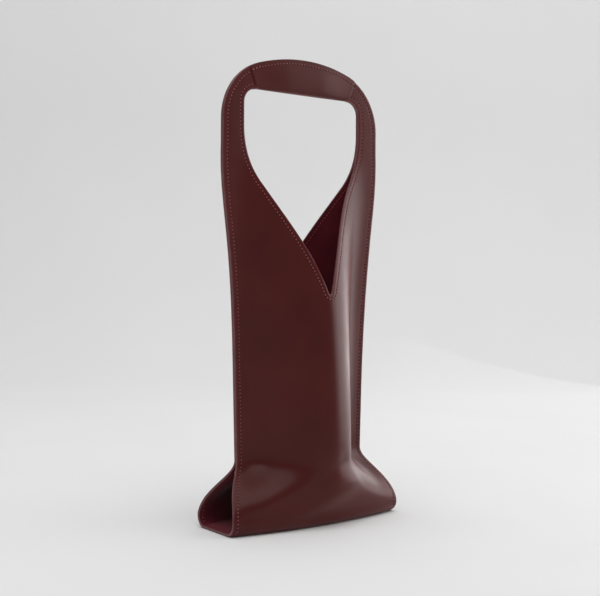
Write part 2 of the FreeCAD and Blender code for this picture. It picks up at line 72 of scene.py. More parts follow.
# %% Sizes of the strip
MM = 0.001
hinge_height = frame["record"]["behaviour"]["joints"][0]["pos_m"][2]
loop_low, loop_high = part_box("front_loop")
arms_half = loop_high.x
top_height = loop_high.z
stack_half = -loop_low.y
base_half = 89.5 * MM
end_depth = 27.75 * MM
fold_radius = 10 * MM
opening_height = 57 * MM
notch_height = 197 * MM
flat_height = 325 * MM
shoulder_height = 344 * MM
crown_radius = 160 * MM
crown_centre = top_height - crown_radius
arm_width = 20.5 * MM
bar_height = 27.2 * MM
hole_half = arms_half - arm_width
hole_top = top_height - bar_height
hole_radius = 12 * MM
grip_drop = 2.4 * MM
corner_run = 8 * MM
tip_radius = 2.5 * MM
seam_margin = 6 * MM
seam_bend = 25 * MM
leather = 1.4 * MM
lining = 0.7 * MM
lining_depth = 1.6 * MM
board_lift = 1.2 * MM
print("strip", round(2 * base_half, 4), "m wide, handle top at", round(top_height, 4), "m")

# %% [markdown]
# ## Camera
#
# The photograph looks at the front from the left, a little above half height. The camera comes first,
# because every later choice is seen through it. A lens of 63 mm on a 36 mm sensor keeps the
# upright edges nearly parallel, as they are there.

# %% Camera
VIEW_TURN = math.radians(-37)
VIEW_PITCH = math.radians(-0.95)
VIEW_ROLL = math.radians(0.3)
VIEW_DISTANCE = 0.919
VIEW_HEIGHT = 0.209
VIEW_SHIFT = -0.0013
LENS = 63
SENSOR = 36

forward = Vector((-math.sin(VIEW_TURN) * math.cos(VIEW_PITCH),
                  math.cos(VIEW_TURN) * math.cos(VIEW_PITCH), math.sin(VIEW_PITCH)))
level = Vector((math.cos(VIEW_TURN), math.sin(VIEW_TURN), 0))
upright = level.cross(forward)
right = level * math.cos(VIEW_ROLL) + upright * math.sin(VIEW_ROLL)
up = upright * math.cos(VIEW_ROLL) - level * math.sin(VIEW_ROLL)
eye = Vector((math.sin(VIEW_TURN), -math.cos(VIEW_TURN), 0)) * VIEW_DISTANCE + level * VIEW_SHIFT
eye.z = VIEW_HEIGHT

camera = bpy.data.objects.new("camera", bpy.data.cameras.new("camera"))
bpy.context.scene.collection.objects.link(camera)
camera.data.lens = LENS
camera.data.sensor_width = SENSOR
camera.matrix_world = Matrix.Translation(eye) @ Matrix((right, up, -forward)).transposed().to_4x4()
bpy.context.scene.camera = camera
print("camera at", [round(v, 3) for v in eye])

# %% [markdown]
# ## The bent strip
#
# Leather bends, but it hardly stretches. So the wall is not drawn as a free surface: every level keeps
# the strip's own width, and only its turn changes from the middle line to the edge. Adding up small
# steps along that turn gives the section. The engineering model follows this rule too, with a slightly
# gentler turn.

# %% The rule of the wall
FLANK_TURN = math.radians(61)
BASE_TURN = math.radians(14)
FALL_POWER = 5.4
LAND_POWER = 1.5
SPREAD_POWER = 1.8
OPEN_POWER = 0.7
CREST_SHARE = 0.5
TAPER_SHARE = 0.31
HALF_STEPS = 160


def ease(share):
    """A smooth step from 0 to 1."""
    share = np.clip(share, 0, 1)
    return share * share * (3 - 2 * share)


def strip_half(height):
    """Half width of the strip at a height."""
    share = np.clip((height - opening_height) / (flat_height - opening_height), 0, 1)
    return base_half + (arms_half - base_half) * share


def wall_table(height):
    """For each height: distances along the leather, with the places they bend to."""
    rise = np.clip((height - opening_height) / (flat_height - opening_height), 0, 1)
    fall = np.clip((opening_height - height) / (opening_height - fold_radius), 0, 1)
    spread = np.sin(math.pi / 2 * fall) ** SPREAD_POWER
    sewn_turn = FLANK_TURN * (1 - TAPER_SHARE * rise) * (1 - rise ** FALL_POWER) ** LAND_POWER
    open_turn = BASE_TURN + (FLANK_TURN - BASE_TURN) * (1 - spread) ** OPEN_POWER
    turn = np.where(height >= opening_height, sewn_turn, open_turn)
    edge = stack_half + (end_depth - stack_half) * spread
    held = 1 - ease(fall)
    share = np.linspace(0, 1, HALF_STEPS + 1)[None, :]
    half = strip_half(height)[:, None]
    core = half - seam_margin - seam_bend
    along = half * share
    part = along / core
    sewn = np.where(part <= 1, part * (1 + CREST_SHARE) / (part + CREST_SHARE),
                    1 - ease((along - core) / seam_bend))
    slope = turn[:, None] * (held[:, None] * sewn + (1 - held[:, None]) * share)
    slope = (slope[:, 1:] + slope[:, :-1]) / 2
    start = np.zeros((len(height), 1))
    side = np.hstack([start, np.cumsum(np.cos(slope), 1)]) * half / HALF_STEPS
    drop = np.hstack([start, np.cumsum(np.sin(slope), 1)]) * half / HALF_STEPS
    return along, side, edge[:, None] + drop[:, -1:] - drop


seam_reach = wall_table(np.array([opening_height]))[1][0, -1]
print("side seams start", round(2 * seam_reach, 4), "m apart")

# %% Places on the wall
CHECK_HEIGHT = 150 * MM


def wall_place(across, height):
    """Distance to the side and depth of points given by their distance along the leather."""
    along, side, depth = wall_table(height)
    place = np.clip(across / along[:, -1], 0, 1) * HALF_STEPS
    low = np.minimum(place.astype(int), HALF_STEPS - 1)
    part = place - low
    rows = np.arange(len(height))
    x = side[rows, low] * (1 - part) + side[rows, low + 1] * part
    return x, depth[rows, low] * (1 - part) + depth[rows, low + 1] * part


def along_at(x, height):
    """Distance along the leather at which the wall stands at x."""
    along, side, _ = wall_table(height)
    return np.array([np.interp(value, row, path) for value, row, path in zip(x, side, along)])


width_check, depth_check = wall_place(np.array([0.0, base_half]), np.full(2, CHECK_HEIGHT))
print("belly", round(depth_check[0], 4), "m deep, edge at", round(width_check[1], 4), "m")

# %% [markdown]
# ## Sag
#
# Empty soft leather does not keep a perfect curve. It falls in a little between the folds and the
# first stitches of the side seams, swells beside those hollows and rolls softly elsewhere, and the
# right seam leans to the back. Cloth simulation could find such forms, but it would also move the
# seams. A few broad hollows and swellings, listed along lines on the flat pattern, stay where
# they belong.

# %% Hollows and swellings of the wall
# Each row: a line on the flat pattern (across, height), half width, depth; millimetres. Across is
# negative at the left of whoever looks at that face. A swelling has a negative depth.
HOLLOWS = (
    (((10, 56), (-13, 42), (-30, 28), (-60, 17), (-82, 14)), 9, 2.4),
    (((-44, 42), (-76, 33)), 14, -0.9),
    (((28, 38), (-8, 21), (-38, 11)), 9, -1.5),
    (((72, 57), (74, 36)), 10, 2.6),
)
# Each row: height of a wave and its reach across and up, in millimetres, and its shift on each face.
ROLLS = ((0.5, 31, 47, 1.3), (0.35, -53, 29, 0.7))
SEAM_FOOT = 25 * MM
SEAM_EASE = 22 * MM
HEM_EASE = 12 * MM
BASE_START = 0.2 * fold_radius
BASE_EASE = 14 * MM
CALM_START = 220 * MM
CALM_EASE = 80 * MM


def line_gap(across, height, line):
    """Distance of pattern points from a line through several pattern points."""
    gaps = []
    for begin, end in zip(line, line[1:]):
        start = np.array(begin) * MM
        run = np.array(end) * MM - start
        share = np.clip(((across - start[0]) * run[0] + (height - start[1]) * run[1]) / (run @ run), 0, 1)
        gaps.append(np.hypot(across - start[0] - share * run[0], height - start[1] - share * run[1]))
    return np.min(gaps, axis=0)


def sag(across, height, face):
    """How far the wall moves out of its rule; it stays put at seams, at the base and at the handle."""
    to_edge = strip_half(height) - np.abs(across)
    sewn = 1 - ease((opening_height - height) / SEAM_FOOT)
    free_side = sewn * ease((to_edge - seam_margin) / SEAM_EASE) + (1 - sewn) * ease(to_edge / HEM_EASE)
    free_low = ease((height - BASE_START) / BASE_EASE)
    free_high = 1 - ease((height - CALM_START) / CALM_EASE)
    move = 0
    for high, wide, tall, shift in ROLLS:
        move = move + high * MM * np.sin(across / (wide * MM) + height / (tall * MM) + shift * face)
    for line, wide, deep in HOLLOWS:
        gap = line_gap(-face * across, height, line)
        move = move - deep * MM * np.exp(-(gap / (wide * MM)) ** 2)
    return move * free_side * free_low * free_high


print(len(HOLLOWS), "hollows and swellings on each face")

# %% Lean of the right seam
LEAN = 2.6 * MM
LEAN_FLAT = 3 * MM
LEAN_WIDTH = 27 * MM
LEAN_FOOT = 15 * MM
LEAN_RISE = 45 * MM
LEAN_FADE = 110 * MM
LEAN_FALL = 130 * MM


def seam_lean(across, height):
    """How far the right seam leans to the back: most above its foot, nothing at the shoulders."""
    to_edge = strip_half(height) - across
    tall = ease((height - LEAN_FOOT) / LEAN_RISE) * (1 - ease((height - LEAN_FADE) / LEAN_FALL))
    return LEAN * tall * ease(1 - (to_edge - LEAN_FLAT) / (LEAN_WIDTH - LEAN_FLAT))


print("seam leans by", round(float(seam_lean(base_half, CHECK_HEIGHT)), 4), "m at", CHECK_HEIGHT, "m")

# %% Points and normals of the outer face
ACROSS_STEP = 0.3 * MM
RUN_STEP = 0.02


def bare_point(across, run, face):
    """Outer face; run -1 to 0 is the base, 0 to 1 the fold, above that it counts fold radii."""
    height = np.maximum(run, 1) * fold_radius
    x, depth = wall_place(np.abs(across), height)
    turn = np.clip(run, 0, 1) * math.pi / 2
    reach = depth - fold_radius * (1 - np.sin(turn))
    reach = np.where(run < 0, (1 + run) * (depth - fold_radius), reach)
    reach = reach + sag(across, run * fold_radius, face)
    z = np.where(run < 1, fold_radius * (1 - np.cos(turn)), height)
    y = face * reach + seam_lean(across, run * fold_radius)
    return np.stack([np.sign(across) * x, y, z], -1)


def strip_face(across, run, face):
    """Points and outward normals of the outer face; face is -1 at the front and 1 at the back."""
    along = bare_point(across + ACROSS_STEP, run, face) - bare_point(across - ACROSS_STEP, run, face)
    above = bare_point(across, run + RUN_STEP, face)
    upward = above - bare_point(across, np.maximum(run - RUN_STEP, -1), face)
    normal = np.cross(along, upward) * -face
    return bare_point(across, run, face), normal / np.linalg.norm(normal, axis=1, keepdims=True)


front_place, front_normal = strip_face(np.zeros(1), np.array([CHECK_HEIGHT / fold_radius]), -1)
print("front middle at", front_place[0].round(4), "faces", front_normal[0].round(2))

# %% [markdown]
# ## The pattern
#
# The flat pattern has two edges: the outer one, from the base up to the handle's arch, and the one
# round the neck notch and the hand hole. Both are arcs and straight lines. A grid between the two
# edges then follows them exactly, with close columns near each edge, where the leather is pressed by
# the stitches.

# %% Edge of the neck notch
NOTCH_MID_SHARES = (0.384, 0.364)
NOTCH_TURN_SHARES = (0.74, 0.643)


def circle_through(a, b, c):
    """Centre and radius of the circle through three points."""
    rows = np.array([[b[0] - a[0], b[1] - a[1]], [c[0] - a[0], c[1] - a[1]]])
    sums = np.array([b[0] ** 2 - a[0] ** 2 + b[1] ** 2 - a[1] ** 2,
                     c[0] ** 2 - a[0] ** 2 + c[1] ** 2 - a[1] ** 2]) / 2
    centre = np.linalg.solve(rows, sums)
    return centre, math.hypot(centre[0] - a[0], centre[1] - a[1])


notch_tall = hinge_height - notch_height
notch_mid = (NOTCH_MID_SHARES[0] * hole_half, notch_height + NOTCH_MID_SHARES[1] * notch_tall)
notch_turn = (NOTCH_TURN_SHARES[0] * hole_half, notch_height + NOTCH_TURN_SHARES[1] * notch_tall)
lean = math.atan2(notch_mid[0], notch_mid[1] - notch_height)
notch_start = (tip_radius * math.cos(lean), notch_height + tip_radius * (1 - math.sin(lean)))
notch_centre, notch_radius = circle_through(notch_start, notch_mid, notch_turn)
turn_width = hole_half - notch_turn[0]
turn_tall = hinge_height - notch_turn[1]
turn_radius = (turn_width ** 2 + turn_tall ** 2) / (2 * turn_width)


def notch_x(height):
    """Half width of the neck notch at a height."""
    tip = np.sqrt(np.maximum(tip_radius ** 2 - (notch_height + tip_radius - height) ** 2, 0))
    side = math.copysign(1, notch_mid[0] - notch_centre[0])
    reach = np.sqrt(np.maximum(notch_radius ** 2 - (height - notch_centre[1]) ** 2, 0))
    flank = notch_centre[0] + side * reach
    below = np.minimum(hinge_height - height, turn_radius)
    upper = hole_half - turn_radius + np.sqrt(turn_radius ** 2 - below ** 2)
    return np.where(height <= notch_start[1], tip, np.where(height <= notch_turn[1], flank, upper))


print("notch flank radius", round(notch_radius, 3), "m, turn radius", round(turn_radius, 3), "m")

# %% Edges of the handle
SHOULDER_POINTS = 60
CROWN_POINTS = 40
CORNER_POINTS = 40
CLIMB_POINTS = 9
quarter = math.pi / 2
shoulder_radius = (crown_radius ** 2 - arms_half ** 2 - (shoulder_height - crown_centre) ** 2) / (
    2 * (crown_radius - arms_half))
shoulder_x = arms_half - shoulder_radius
crown_turn = math.atan2(shoulder_x, shoulder_height - crown_centre)


def arc(centre, radius, first, last, count):
    """Points on an arc, its turn measured from straight up."""
    turn = np.linspace(first, last, count)
    return np.stack([centre[0] + radius * np.sin(turn), centre[1] + radius * np.cos(turn)], -1)


arch_out = np.vstack([
    [[arms_half, hinge_height]],
    arc((shoulder_x, shoulder_height), shoulder_radius, quarter, crown_turn, SHOULDER_POINTS),
    arc((0, crown_centre), crown_radius, crown_turn, 0, CROWN_POINTS)[1:]])
corner_x = hole_half - hole_radius
corner_top = hole_top - grip_drop
climb = np.linspace(0, 1, CLIMB_POINTS)[1:]
arch_in = np.vstack([
    [[hole_half, hinge_height]],
    arc((corner_x, corner_top - hole_radius), hole_radius, quarter, 0, CORNER_POINTS),
    np.stack([corner_x - corner_run * climb, corner_top + grip_drop * ease(climb)], -1),
    [[0, hole_top]]])
print("hand hole", len(arch_in), "and arch", len(arch_out), "points")

# %% Rows of the grid
BASE_ROWS = [14, 8]
WALL_ROWS = [20, 42]
NOTCH_ROWS = [46, 5]
ARCH_ROWS = [8, 12, 18]
TIP_STEPS = np.array([0.06, 0.25, 0.6, 1.05]) * MM
ARCH_FOOT = 30 * MM


def walk(points, lengths):
    """Points at given distances along a polyline."""
    steps = np.hypot(*np.diff(points, axis=0).T)
    travelled = np.concatenate([[0], np.cumsum(steps)])
    return np.stack([np.interp(lengths, travelled, points[:, i]) for i in range(2)], -1)


def spaced(marks, counts):
    """Values from mark to mark, each stretch divided evenly."""
    parts = [np.linspace(a, b, n + 1)[1:] for a, b, n in zip(marks, marks[1:], counts)]
    return np.concatenate([[marks[0]]] + parts)


runs = spaced([-1, 0, 1], BASE_ROWS)
heights = spaced([fold_radius, opening_height, notch_height], WALL_ROWS)[1:]
notch_heights = spaced([notch_start[1], flat_height, hinge_height], NOTCH_ROWS)
open_heights = np.concatenate([notch_height + TIP_STEPS, notch_heights])
open_inner = along_at(notch_x(open_heights), open_heights)
side_length = corner_top - hole_radius - hinge_height
inner_total = np.hypot(*np.diff(arch_in, axis=0).T).sum()
corner_end = side_length + quarter * hole_radius
inner_marks = [0, side_length, corner_end, inner_total]
outer_total = np.hypot(*np.diff(arch_out, axis=0).T).sum()
crown_length = crown_turn * crown_radius
outer_marks = [0, ARCH_FOOT, outer_total - crown_length, outer_total]
arch_inner = walk(arch_in, spaced(inner_marks, ARCH_ROWS)[1:])
arch_outer = walk(arch_out, spaced(outer_marks, ARCH_ROWS)[1:])
print("rows:", len(runs) + len(heights), "closed,", len(open_heights) + len(arch_inner), "open")

# %% The grid between the edges
EDGE_COLUMNS = np.array([0, 0.5, 1.0, 1.6, 2.4, 3.2, 4.0, 4.8, 5.6]) * MM
MIDDLE_COLUMNS = 20
plain = np.concatenate([runs * fold_radius, heights])
inner_ends = np.vstack([np.stack([np.zeros_like(plain), plain], -1),
                        np.stack([open_inner, open_heights], -1), arch_inner])
outer_ends = np.vstack([np.stack([strip_half(plain), plain], -1),
                        np.stack([strip_half(open_heights), open_heights], -1), arch_outer])
tip_row = len(plain) - 1
row_lengths = np.hypot(*(outer_ends - inner_ends).T)
columns = []
for length in row_lengths:
    middle = np.linspace(EDGE_COLUMNS[-1], length - EDGE_COLUMNS[-1], MIDDLE_COLUMNS + 1)[1:-1]
    columns.append(np.concatenate([EDGE_COLUMNS, middle, length - EDGE_COLUMNS[::-1]]) / length)
columns = np.array(columns)[:, :, None]
pattern = inner_ends[:, None, :] * (1 - columns) + outer_ends[:, None, :] * columns
print("pattern", pattern.shape[0], "rows of", pattern.shape[1], "points")

# %% Distance of every pattern point from the nearest edge
EDGE_SAMPLE = 0.3 * MM
dense_edge = []
for ends in (inner_ends[tip_row:], outer_ends):
    steps = np.hypot(*np.diff(ends, axis=0).T)
    dense_edge.append(walk(ends, np.arange(0, steps.sum(), EDGE_SAMPLE)))
dense_edge = np.vstack(dense_edge)
flat_points = pattern.reshape(-1, 2)
edge_gap = np.array([np.hypot(*(dense_edge - point).T).min() for point in flat_points])
print("largest distance from an edge", round(edge_gap.max(), 4), "m")

# %% [markdown]
# ## Leather and lining
#
# Both are sheets with a real thickness: an outer face, an inner face and rims along the true edges.
# The leather's cut edges are rounded, and a shallow groove runs where the stitches press it. The
# lining lies against its inner face and steps up over the board in the base. Four quarters are built
# from the same pattern and merged along the lines where they meet.

# %% Faces of a sheet
ROUND_WIDTH = 1.3 * MM
ROUND_DROP = 0.45 * MM
STITCH_INSET = 4 * MM
GROOVE_WIDTH = 0.8 * MM
GROOVE_DEPTH = 0.12 * MM


def pressed(gap):
    """Depth of the rounded edge and of the stitched groove."""
    bow = np.clip(1 - gap / ROUND_WIDTH, 0, 1)
    groove = np.exp(-((gap - STITCH_INSET) / GROOVE_WIDTH) ** 2)
    return ROUND_DROP * (1 - np.sqrt(1 - bow ** 2)) + GROOVE_DEPTH * groove


def quarter_faces(rows, count, offset, turned):
    """Faces of one quarter: outer face, inner face and the rims along the true edges."""
    grid = np.arange(rows * count).reshape(rows, count)
    outer = grid + offset
    inner = outer + rows * count
    faces = []
    for i in range(rows - 1):
        for j in range(count - 1):
            faces.append((outer[i, j], outer[i, j + 1], outer[i + 1, j + 1], outer[i + 1, j]))
            faces.append((inner[i + 1, j], inner[i + 1, j + 1], inner[i, j + 1], inner[i, j]))
        faces.append((outer[i, -1], inner[i, -1], inner[i + 1, -1], outer[i + 1, -1]))
        if i >= tip_row:
            faces.append((outer[i + 1, 0], inner[i + 1, 0], inner[i, 0], outer[i, 0]))
    return [face[::-1] for face in faces] if turned else faces


print("edges are pressed by up to", round(pressed(edge_gap).max(), 5), "m")

# %% Leather strip and lining strip
QUARTERS = ((1, -1), (-1, -1), (1, 1), (-1, 1))
MERGE_DISTANCE = 0.002 * MM
SMOOTH_ANGLE = math.radians(50)
BOARD_RISE = 0.25 * fold_radius
BOARD_INSET = 2 * MM
BOARD_STEP = 4 * MM


def merged_piece(mesh, turn_outwards=False):
    """Close a mesh's seams, shade it smooth up to its corners and put it in the scene."""
    shape = bmesh.new()
    shape.from_mesh(mesh)
    bmesh.ops.remove_doubles(shape, verts=shape.verts, dist=MERGE_DISTANCE)
    if turn_outwards:
        bmesh.ops.recalc_face_normals(shape, faces=shape.faces)
    shape.to_mesh(mesh)
    shape.free()
    mesh.polygons.foreach_set("use_smooth", [True] * len(mesh.polygons))
    mesh.set_sharp_from_angle(angle=SMOOTH_ANGLE)
    piece = bpy.data.objects.new(mesh.name, mesh)
    bpy.context.scene.collection.objects.link(piece)
    print(piece.name, len(mesh.polygons), "faces")
    return piece


def sheet_object(name, outer_depth, inner_depth):
    """A sheet between two depths under the leather's outer face."""
    rows, count = pattern.shape[:2]
    points, faces, gaps = [], [], []
    for side, face in QUARTERS:
        place, normal = strip_face(flat_points[:, 0] * side, flat_points[:, 1] / fold_radius, face)
        faces += quarter_faces(rows, count, sum(map(len, points)), side * face > 0)
        points += [place - normal * outer_depth[:, None], place - normal * inner_depth[:, None]]
        gaps += [edge_gap, edge_gap]
    mesh = bpy.data.meshes.new(name)
    mesh.from_pydata(np.vstack(points).tolist(), [], [tuple(map(int, face)) for face in faces])
    mesh.attributes.new("edge_gap", "FLOAT", "POINT").data.foreach_set("value", np.concatenate(gaps))
    return merged_piece(mesh)


leather_strip = sheet_object("leather_strip", pressed(edge_gap), np.full(len(edge_gap), leather))
over_board = ease(-flat_points[:, 1] / BOARD_RISE) * ease((edge_gap - BOARD_INSET) / BOARD_STEP)
lining_outer = lining_depth + board_lift * over_board
lining_strip = sheet_object("lining_strip", lining_outer, lining_outer + lining)

# %% [markdown]
# ## Grip
#
# A piece of leather is folded up round the handle's bar, over a strip of padding on each side, and sewn
# along the top. Its section is a soft U with a rounded underside. It is lofted along the arch, and its
# ends run out thin, so that they lie flush on the arms.

# %% Section of the grip
GRIP_MIDDLE = 6.5 * MM
GRIP_END = 3.4 * MM
GRIP_TOP = 4.0 * MM
GRIP_TOP_END = 2.9 * MM
GRIP_SWELL = 42 * MM
BELLY_SHARE = 0.45
BELLY_POWER = 2.8
TOP_POWER = 1.7
BAR_PLAY = 0.2 * MM
grip_turn = math.atan2(corner_x, corner_top - crown_centre)
bar_half = stack_half + BAR_PLAY


def outline_radius(turn):
    """Distance from the crown's centre to the handle's outer edge."""
    turn = np.abs(turn)
    deep = shoulder_height - crown_centre
    along = shoulder_x * np.sin(turn) + deep * np.cos(turn)
    aside = shoulder_x ** 2 + deep ** 2 - along ** 2
    shoulder = along + np.sqrt(np.maximum(shoulder_radius ** 2 - aside, 0))
    return np.where(turn > crown_turn, shoulder, crown_radius)


def grip_frame(turn):
    """Half thickness, top half thickness, underside and top of the grip; thin where it ends."""
    from_end = (grip_turn - abs(turn)) * crown_radius
    full = float(ease(from_end / GRIP_SWELL))
    lip = math.sqrt(1 - max(1 - from_end / leather, 0) ** 2)
    half = bar_half + (GRIP_END + (GRIP_MIDDLE - GRIP_END) * full - bar_half) * lip
    top = bar_half + (GRIP_TOP_END + (GRIP_TOP - GRIP_TOP_END) * full - bar_half) * lip
    low = (corner_top - crown_centre) / math.cos(turn)
    return half, top, low, float(outline_radius(turn))


def grip_side(share, half, top, low, high):
    """Half thickness and distance from the crown's centre, share 0 at the underside to 1 at the top."""
    bend = np.clip(share / BELLY_SHARE, 0, 1) * quarter
    rise = np.where(share < BELLY_SHARE, BELLY_SHARE * (1 - np.cos(bend) ** (2 / BELLY_POWER)), share)
    thick = half * np.sin(bend) ** (2 / BELLY_POWER)
    taper = (np.maximum(share - BELLY_SHARE, 0) / (1 - BELLY_SHARE)) ** TOP_POWER
    thick = np.where(share < BELLY_SHARE, thick, half - (half - np.minimum(top, half)) * taper)
    return thick, low + (high - low) * rise


def grip_place(turn, depth, radius):
    """Points from turns and distances about the crown's centre."""
    return np.stack([radius * np.sin(turn), depth, crown_centre + radius * np.cos(turn)], -1)


print("grip", round(2 * grip_turn * crown_radius, 4), "m long,", round(2 * grip_frame(0)[0], 4), "m thick")

# %% Loft of the grip
GRIP_END_STEPS = np.array([0, 0.25, 0.6, 1.0, 1.4, 3, 5.5, 8, 10.5, 13]) * MM
MIDDLE_RINGS = 16
SIDE_POINTS = 9
BELLY_POINTS = 10
end_turns = GRIP_END_STEPS / crown_radius
middle_turns = np.linspace(0, grip_turn - end_turns[-1], MIDDLE_RINGS)[:-1]
half_turns = np.concatenate([middle_turns, (grip_turn - end_turns)[::-1]])
grip_turns = np.concatenate([-half_turns[:0:-1], half_turns])
down_shares = np.concatenate([np.linspace(1, BELLY_SHARE, SIDE_POINTS)[:-1],
                              np.linspace(BELLY_SHARE, 0, BELLY_POINTS)])


def grip_ring(turn):
    """One section: down the front, up the back, and back again along the inner face."""
    half, top, low, high = grip_frame(turn)
    wall = min(half - bar_half, leather)
    outer = grip_side(down_shares, half, top, low, high)
    inner = grip_side(down_shares, half - wall, bar_half, low + wall, high)
    front, core = (grip_place(turn, -thick, radius) for thick, radius in (outer, inner))
    mirror = np.array([1, -1, 1])
    return np.vstack([front, (front * mirror)[-2::-1], core * mirror, core[-2::-1]])


rings = [grip_ring(turn) for turn in grip_turns]
around = len(rings[0])
span = 2 * len(down_shares) - 1
faces = []
for i in range(len(rings) - 1):
    for j in range(around):
        k = (j + 1) % around
        faces.append((i * around + j, i * around + k, (i + 1) * around + k, (i + 1) * around + j))
last = (len(rings) - 1) * around
for j in range(span - 1):
    twin = around - 1 - j
    faces.append((j, twin, twin - 1, j + 1))
    faces.append((last + j, last + j + 1, last + twin - 1, last + twin))
mesh = bpy.data.meshes.new("grip_cover")
mesh.from_pydata(np.vstack(rings).tolist(), [], faces)
grip_cover = merged_piece(mesh, turn_outwards=True)

# %% [markdown]
# ## Materials
#
# Every finish is procedural and reads Object coordinates, so it stays on the piece from any side. The
# leather is a smooth, satin-finished hide: two close tones of burgundy, a very fine grain, a gloss that
# varies a little, and an edge rubbed a little lighter. The others are built with the same small helper.

# %% Helpers for materials
NOISE_LOW = 0.3
NOISE_HIGH = 0.7


def linear(text):
    """Colour written as six hexadecimal digits, as the shader wants it."""
    parts = [int(text[i:i + 2], 16) / 255 for i in (0, 2, 4)]
    return [p / 12.92 if p <= 0.04045 else ((p + 0.055) / 1.055) ** 2.4 for p in parts] + [1]


class Finish:
    """A material with its shader, and short ways to add the nodes that feed it."""

    def __init__(self, name):
        self.material = bpy.data.materials.new(name)
        self.material.use_nodes = True
        self.tree = self.material.node_tree
        self.shader = self.tree.nodes["Principled BSDF"]
        self.coords = self.tree.nodes.new("ShaderNodeTexCoord").outputs["Object"]

    def link(self, output, socket):
        self.tree.links.new(output, socket)

    def noise(self, scale, detail=2.0):
        node = self.tree.nodes.new("ShaderNodeTexNoise")
        node.inputs["Scale"].default_value = scale
        node.inputs["Detail"].default_value = detail
        self.link(self.coords, node.inputs["Vector"])
        return node.outputs["Fac"]

    def spread(self, value, low, high, to_low, to_high):
        node = self.tree.nodes.new("ShaderNodeMapRange")
        ends = {"From Min": low, "From Max": high, "To Min": to_low, "To Max": to_high}
        for name, number in ends.items():
            node.inputs[name].default_value = number
        self.link(value, node.inputs["Value"])
        return node.outputs["Result"]

    def varied(self, scale, detail, low, high):
        """Noise that wanders from low to high."""
        return self.spread(self.noise(scale, detail), NOISE_LOW, NOISE_HIGH, low, high)

    def mix(self, factor, first, second):
        node = self.tree.nodes.new("ShaderNodeMix")
        node.data_type = "RGBA"
        self.link(factor, node.inputs[0])
        for socket, colour in ((node.inputs[6], first), (node.inputs[7], second)):
            if isinstance(colour, list):
                socket.default_value = colour
            else:
                self.link(colour, socket)
        return node.outputs[2]

    def bump(self, heights, strength, distance):
        """Bumps one after the other, the coarse one first."""
        normal = None
        for height in heights:
            node = self.tree.nodes.new("ShaderNodeBump")
            node.inputs["Strength"].default_value = strength
            node.inputs["Distance"].default_value = distance
            self.link(height, node.inputs["Height"])
            if normal:
                self.link(normal, node.inputs["Normal"])
            normal = node.outputs["Normal"]
        self.link(normal, self.shader.inputs["Normal"])

    def edge_gap(self):
        node = self.tree.nodes.new("ShaderNodeAttribute")
        node.attribute_name = "edge_gap"
        return node.outputs["Fac"]

    def set(self, **values):
        for name, value in values.items():
            self.shader.inputs[name.replace("_", " ")].default_value = value


print("half grey in linear light:", round(linear("808080")[0], 3))

# %% Leather
LEATHER_TONES = ("481918", "531e1b")
TONE_SCALE = 16
GLOSS_SCALE = 70
RUBBED_TONE = "80383e"
RUBBED_SHARE = 0.4
RUBBED_FROM = 0.3 * MM
RUBBED_TO = 1.5 * MM
LEATHER_PLAY = 0.03
GRAIN_SCALES = (420, 1500)
GRAIN_STRENGTH = 0.03
GRAIN_DEPTH = 0.25 * MM


def leather_finish(name, rough, rubbed_edge):
    """Satin leather; only the strip knows how far its edges are."""
    finish = Finish(name)
    tone = finish.mix(finish.varied(TONE_SCALE, 3, 0, 1), *map(linear, LEATHER_TONES))
    if rubbed_edge:
        near = finish.spread(finish.edge_gap(), RUBBED_FROM, RUBBED_TO, RUBBED_SHARE, 0)
        tone = finish.mix(near, tone, linear(RUBBED_TONE))
    finish.link(tone, finish.shader.inputs["Base Color"])
    gloss = finish.varied(GLOSS_SCALE, 3, rough - LEATHER_PLAY, rough + LEATHER_PLAY)
    finish.link(gloss, finish.shader.inputs["Roughness"])
    finish.bump([finish.noise(scale) for scale in GRAIN_SCALES], GRAIN_STRENGTH, GRAIN_DEPTH)
    finish.set(IOR=1.3, Specular_Tint=linear("fff0f0"))
    finish.set(Sheen_Weight=0.3, Sheen_Roughness=0.4, Sheen_Tint=linear("d88c8c"))
    return finish.material


strip_leather = leather_finish("strip_leather", 0.32, True)
grip_leather = leather_finish("grip_leather", 0.45, False)
leather_strip.data.materials.append(strip_leather)
grip_cover.data.materials.append(grip_leather)
print("leather on", leather_strip.name, "and", grip_cover.name)

# %% Lining, edge paint, thread, painted shade of the needle holes, and board
PLAIN_PLAY = 0.05
PLAIN_DEPTH = 0.2 * MM


def plain_finish(name, first, second, tone_scale, rough, grain_scale, grain):
    """Two close tones, a gloss that varies a little and one grain."""
    finish = Finish(name)
    tone = finish.mix(finish.varied(tone_scale, 3, 0, 1), linear(first), linear(second))
    finish.link(tone, finish.shader.inputs["Base Color"])
    gloss = finish.varied(tone_scale * 3, 2, rough - PLAIN_PLAY, rough + PLAIN_PLAY)
    finish.link(gloss, finish.shader.inputs["Roughness"])
    finish.bump([finish.noise(grain_scale, 3)], grain, PLAIN_DEPTH)
    return finish


lining_finish = plain_finish("lining_suede", "560716", "640b1c", 60, 0.8, 2200, 0.25)
lining_finish.set(Sheen_Weight=0.1, Sheen_Roughness=0.5, Specular_IOR_Level=0.3)
paint_finish = plain_finish("edge_paint", "683a3d", "754649", 90, 0.45, 700, 0.06)
thread_finish = plain_finish("sewing_thread", "863a3f", "974c50", 300, 0.6, 5200, 0.35)
# The needle holes are flat dark discs. This is painted shade, standing for the shade inside each hole.
hole_shade_finish = plain_finish("painted_hole_shade", "210809", "2b0b0d", 200, 0.8, 900, 0.1)
hole_shade_finish.set(Specular_IOR_Level=0.1)
board_finish = plain_finish("grey_board", "7b776f", "8c8880", 80, 0.85, 1200, 0.2)
lining_strip.data.materials.append(lining_finish.material)
board = frame["nodes"]["base_board"]
board.data.materials.clear()
board.data.materials.append(board_finish.material)
print("finishes:", [material.name for material in bpy.data.materials])

